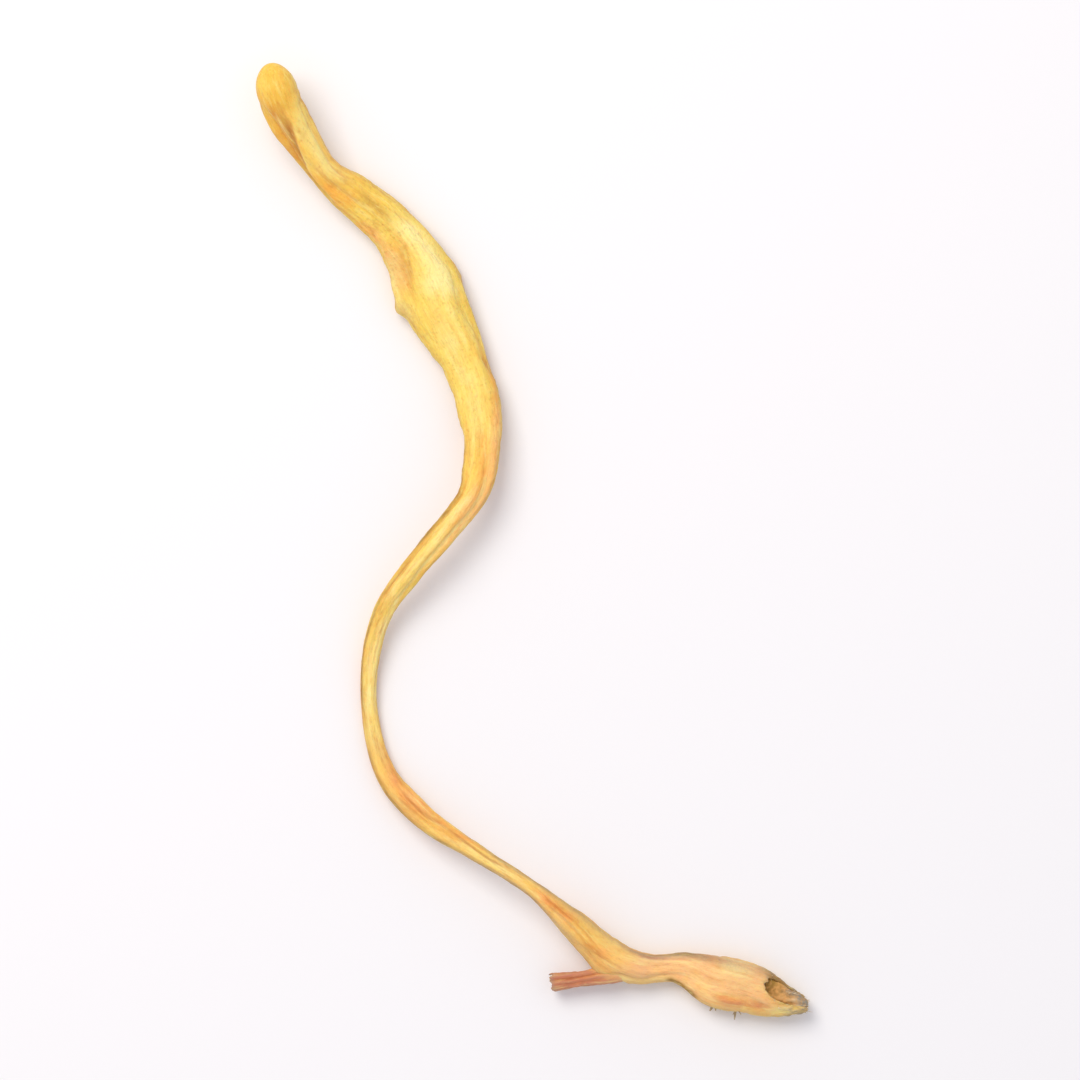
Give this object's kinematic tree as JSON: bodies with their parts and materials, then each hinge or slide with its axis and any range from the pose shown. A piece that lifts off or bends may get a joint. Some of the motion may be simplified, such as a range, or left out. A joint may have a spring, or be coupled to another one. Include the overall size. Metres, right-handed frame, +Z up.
{
  "type": "dried cordyceps strand",
  "caption": "One dried cordyceps fruiting body lying flat: flattened yellow club, thin bent stem and a spindle-shaped torn foot with a short side stub.",
  "frame": {"origin": "on the surface it lies on, at the middle of the strand's plan box", "axes": "+Z up, +Y along the strand's greatest extent towards its round tip, +X to the side that the foot points to"},
  "size_m": [0.0307, 0.0529, 0.0039],
  "materials": {
    "dried_fungus_skin": "matt, faintly waxy dried skin, golden yellow on top and orange in the creases and towards the foot"
  },
  "bodies": {
    "root": {"cordyceps_strand": "dried_fungus_skin"}
  },
  "joints": []
}
